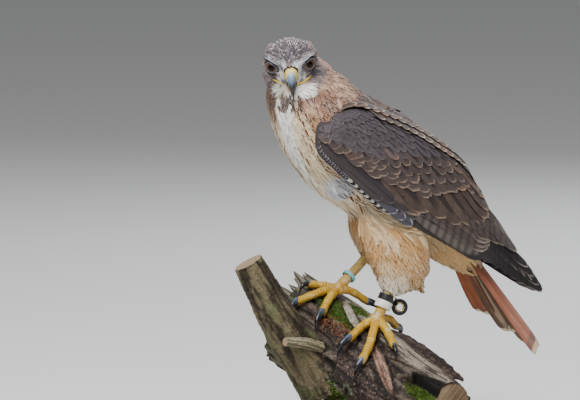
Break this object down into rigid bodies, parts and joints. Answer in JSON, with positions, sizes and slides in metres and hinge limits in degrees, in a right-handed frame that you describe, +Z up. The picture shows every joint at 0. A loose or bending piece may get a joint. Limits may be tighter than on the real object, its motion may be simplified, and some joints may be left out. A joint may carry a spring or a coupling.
{
  "type": "red-tailed hawk life-size display model",
  "caption": "Life-size model of a red-tailed hawk gripping a short slanted length of dead limb, head turned, on a flat base with rods.",
  "frame": {"origin": "middle of the underside of the display base, on the floor", "axes": "-X along the bird's heading, -Y to its left side, +Z up"},
  "size_m": [0.4152, 0.2754, 0.5076],
  "materials": {
    "head_plumage": "soft barbed feathers, streaked",
    "pale_plumage": "soft barbed feathers, matt",
    "wing_plumage": "smooth vaned feathers, faint sheen",
    "tail_plumage": "smooth vaned feathers, faint sheen",
    "scaly_skin": "scaly skin, satin",
    "bill_horn": "smooth horn, yellow cere at the root",
    "claw_horn": "smooth dark horn",
    "eye": "wet and glossy, amber iris round a black pupil",
    "blue_ring": "satin",
    "white_band": "satin",
    "black_leather": "satin",
    "eyelet_metal": "polished",
    "weathered_wood": "rough bark, moss and bare grey wood",
    "base_wood": "satin varnish",
    "rod_metal": "brushed"
  },
  "bodies": {
    "root": {"anklet_left": "black_leather", "band_left": "white_band", "bill_lower": "bill_horn", "bill_upper": "bill_horn", "claw_left_back": "claw_horn", "claw_left_inner": "claw_horn", "claw_left_middle": "claw_horn", "claw_left_outer": "claw_horn", "claw_right_back": "claw_horn", "claw_right_inner": "claw_horn", "claw_right_middle": "claw_horn", "claw_right_outer": "claw_horn", "eye_left": "eye", "eye_right": "eye", "eyelet_left": "eyelet_metal", "foot_left": "scaly_skin", "foot_right": "scaly_skin", "head": "head_plumage", "neck": "head_plumage", "perch": "weathered_wood", "perch_branch": "weathered_wood", "ring_right": "blue_ring", "stand_base": "base_wood", "stand_rod_lower": "rod_metal", "stand_rod_upper": "rod_metal", "tail": "tail_plumage", "thigh_left": "pale_plumage", "thigh_right": "pale_plumage", "torso": "pale_plumage", "wing_left": "wing_plumage", "wing_right": "wing_plumage"}
  },
  "joints": []
}
